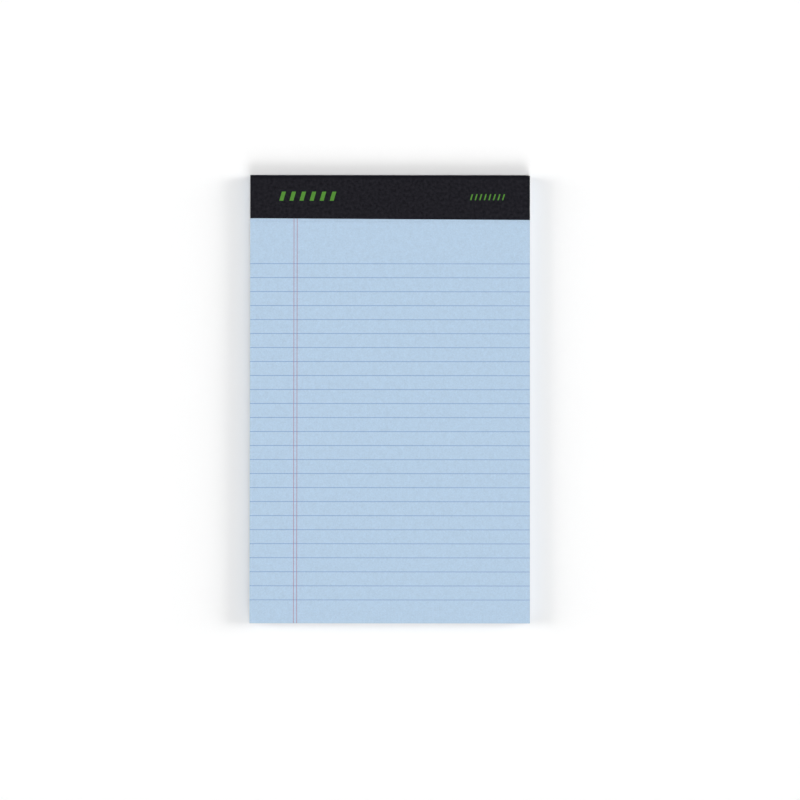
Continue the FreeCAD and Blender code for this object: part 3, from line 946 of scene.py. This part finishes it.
FLOOR_SIZE = 4.0
FLOOR_WHITE = colour(0.97, 0.97, 0.97)
FLOOR_LIFT = 0.04               # keeps the clear floor at white
WHITE = colour(1, 1, 1)
SKY_LEVEL = 0.15                # the share of the plain light level that comes from all round
TABLE_LEVEL = 0.65              # light that a white table sends back up
HORIZON = (-0.1, 0.1)           # heights between which the table's light fades into the sky's
SUNS = (                        # name, level, degrees from the +X axis, height and spread in degrees
    ("tail sun", 0.26, -78, 34, 36),
    ("low right sun", 0.24, 6, 18, 30),
    ("high right sun", 0.06, 6, 42, 34),
    ("low left sun", 0.18, 176, 18, 30),
    ("high left sun", 0.07, 176, 42, 34),
)
TOP_LEVEL = 0.04
TOP_PLACE = (0.02, 0.30, 1.6)
TOP_SIZE = 1.2
PAD_PLACE = (0, 0, 0)

CAMERA_DISTANCE = 1.2
CAMERA_TILT = 1.0               # degrees towards the tail
CAMERA_TURN = 0.05
AIM = (4.6 * MM, -0.56 * MM, SHEETS_TOP)
VIEW_WIDTH = 362.8 * MM         # across the picture at the top sheet
SENSOR = 36.0


def make_floor():
    """A white table seen from above only. Light passes it, so the pad's back is lit as well."""
    mesh = bpy.data.meshes.new("floor")
    half = FLOOR_SIZE / 2
    corners = [(-half, -half, 0), (half, -half, 0), (half, half, 0), (-half, half, 0)]
    mesh.from_pydata(corners, [], [(0, 1, 2, 3)])
    material = bpy.data.materials.new("white table")
    nodes = Nodes(material)
    white = nodes.add("ShaderNodeBsdfDiffuse", {"Color": FLOOR_WHITE})
    glow = nodes.add("ShaderNodeEmission", {"Strength": FLOOR_LIFT})
    table = nodes.add("ShaderNodeAddShader", {0: white.outputs["BSDF"], 1: glow.outputs["Emission"]})
    clear = nodes.add("ShaderNodeBsdfTransparent", {})
    geometry = nodes.add("ShaderNodeNewGeometry", {})
    seen = nodes.seen_directly("Is Transmission Ray")
    shown = nodes.calculate("SUBTRACT", seen, geometry.outputs["Backfacing"], clamp=True)
    choice = nodes.add("ShaderNodeMixShader", {
        "Fac": shown, 1: clear.outputs["BSDF"], 2: table.outputs["Shader"]})
    nodes.add("ShaderNodeOutputMaterial", {"Surface": choice.outputs["Shader"]})
    mesh.materials.append(material)
    floor = add_object("floor", mesh)


def make_sky():
    """Even light from above, brighter from below, and plain white where it is seen directly."""
    world = bpy.data.worlds.new("studio")
    bpy.context.scene.world = world
    nodes = Nodes(world)
    place = nodes.add("ShaderNodeTexCoord", {})
    parts = nodes.add("ShaderNodeSeparateXYZ", {"Vector": place.outputs["Generated"]})
    light = nodes.span(parts.outputs["Z"], HORIZON, TABLE_LEVEL, SKY_LEVEL)
    seen = nodes.seen_directly("Is Glossy Ray", "Is Transmission Ray")
    strength = nodes.add("ShaderNodeMix", {"Factor": seen, "A": light, "B": 1.0})
    background = nodes.add("ShaderNodeBackground", {
        "Color": WHITE, "Strength": strength.outputs["Result"]})
    nodes.add("ShaderNodeOutputWorld", {"Surface": background.outputs["Background"]})


def add_light(name, kind, place):
    """A lamp at a place, turned towards the pad."""
    lamp = bpy.data.lights.new(name, kind)
    holder = add_object(name, lamp)
    holder.location = place
    direction = Vector(PAD_PLACE) - Vector(place)
    holder.rotation_euler = direction.to_track_quat("-Z", "Y").to_euler()
    return lamp


def make_lights():
    """Five broad suns, one over the tail and two at each side, and a soft panel above the head.

    Each has a level: the share of a white surface's brightness that it gives to the top sheet.
    A sun gives its strength times the sine of its height over pi, and a panel gives its power
    over four pi times the square of its distance.
    """
    for name, level, side, height, spread in SUNS:
        turn, height = math.radians(side), math.radians(height)
        reach = math.cos(height)
        place = (math.cos(turn) * reach, math.sin(turn) * reach, math.sin(height))
        sun = add_light(name, "SUN", place)
        sun.energy = level * math.pi / math.sin(height)
        sun.angle = math.radians(spread)
    panel = add_light("top panel", "AREA", TOP_PLACE)
    panel.shape = "SQUARE"
    panel.size = TOP_SIZE
    panel.energy = TOP_LEVEL * 4 * math.pi * math.dist(TOP_PLACE, PAD_PLACE) ** 2


def make_camera():
    """A long lens straight above the pad, leaning a little towards the tail."""
    camera = bpy.data.cameras.new("camera")
    camera.sensor_width = SENSOR
    camera.lens = SENSOR * CAMERA_DISTANCE / VIEW_WIDTH
    holder = add_object("camera", camera)
    tilt = math.radians(CAMERA_TILT)
    back, up = CAMERA_DISTANCE * math.sin(tilt), CAMERA_DISTANCE * math.cos(tilt)
    holder.location = (AIM[0], AIM[1] - back, AIM[2] + up)
    holder.rotation_euler = (tilt, 0, math.radians(CAMERA_TURN))
    bpy.context.scene.camera = holder


make_floor()
make_sky()
make_lights()
make_camera()
bpy.context.scene.view_settings.view_transform = "Standard"
